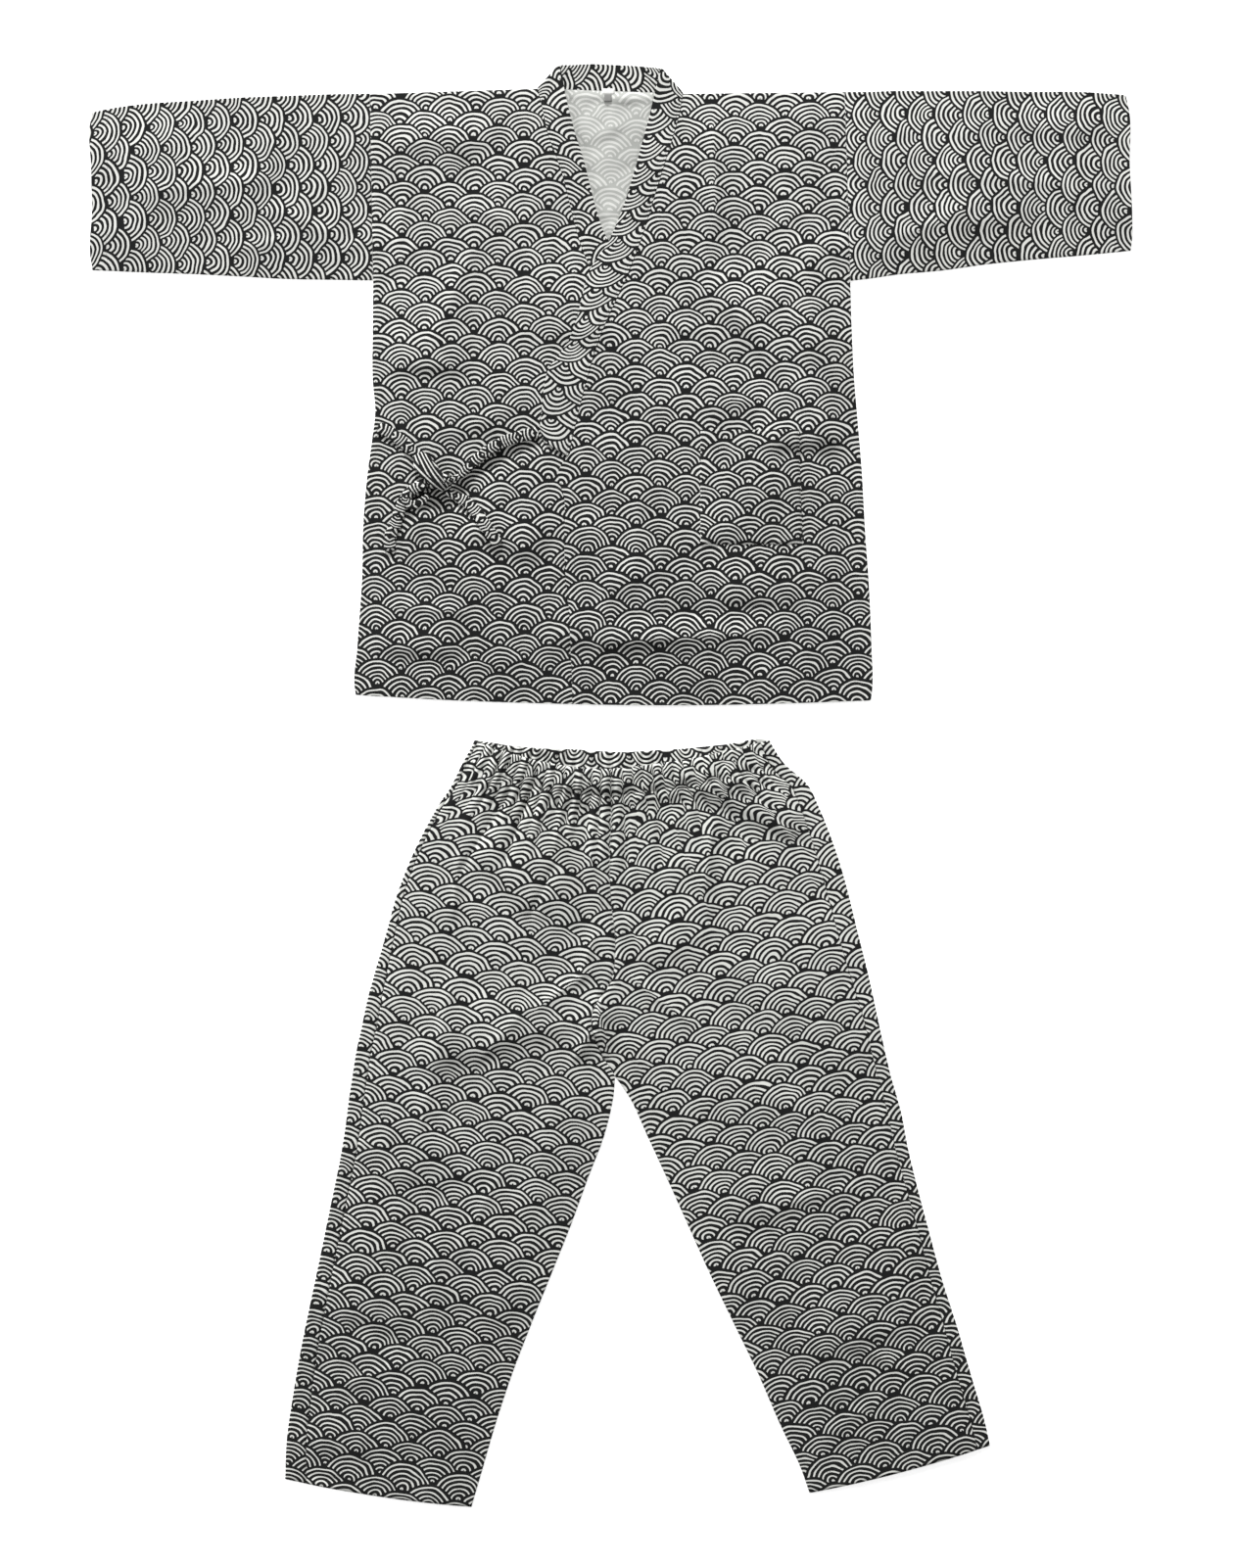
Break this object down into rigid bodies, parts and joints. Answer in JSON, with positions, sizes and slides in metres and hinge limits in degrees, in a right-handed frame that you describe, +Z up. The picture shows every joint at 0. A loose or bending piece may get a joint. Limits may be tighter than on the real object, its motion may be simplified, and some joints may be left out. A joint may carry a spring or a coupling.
{
  "type": "kimono shirt and trousers set",
  "caption": "Wrap-over kimono shirt with tied ends and patch pocket, with matching elastic-waisted trousers, both laid flat.",
  "frame": {"origin": "middle of the whole outline, on the surface that the garments lie on", "axes": "+X to the viewer's right, +Y from the trouser hems towards the shirt's shoulders, +Z up from the surface"},
  "size_m": [1.2762, 1.7675, 0.0145],
  "materials": {
    "print": "matt plain-weave cotton with a light grey overlapping-wave print on charcoal",
    "wrong_side": "wrong side of the same cotton, paler, with the print showing faintly through",
    "plain_tab": "plain white woven tape"
  },
  "bodies": {
    "root": {"shirt_back": "wrong_side", "shirt_front_right": "print", "shirt_front_left": "print", "sleeve_right": "print", "sleeve_left": "print", "collar": "print", "pocket": "print", "neck_tab": "plain_tab", "tie_front": "print", "tie_side": "print", "trouser_front_right": "print", "trouser_front_left": "print", "trouser_back_right": "print", "trouser_back_left": "print", "waist_casing_back": "print", "waist_casing_front": "wrong_side"}
  },
  "joints": []
}
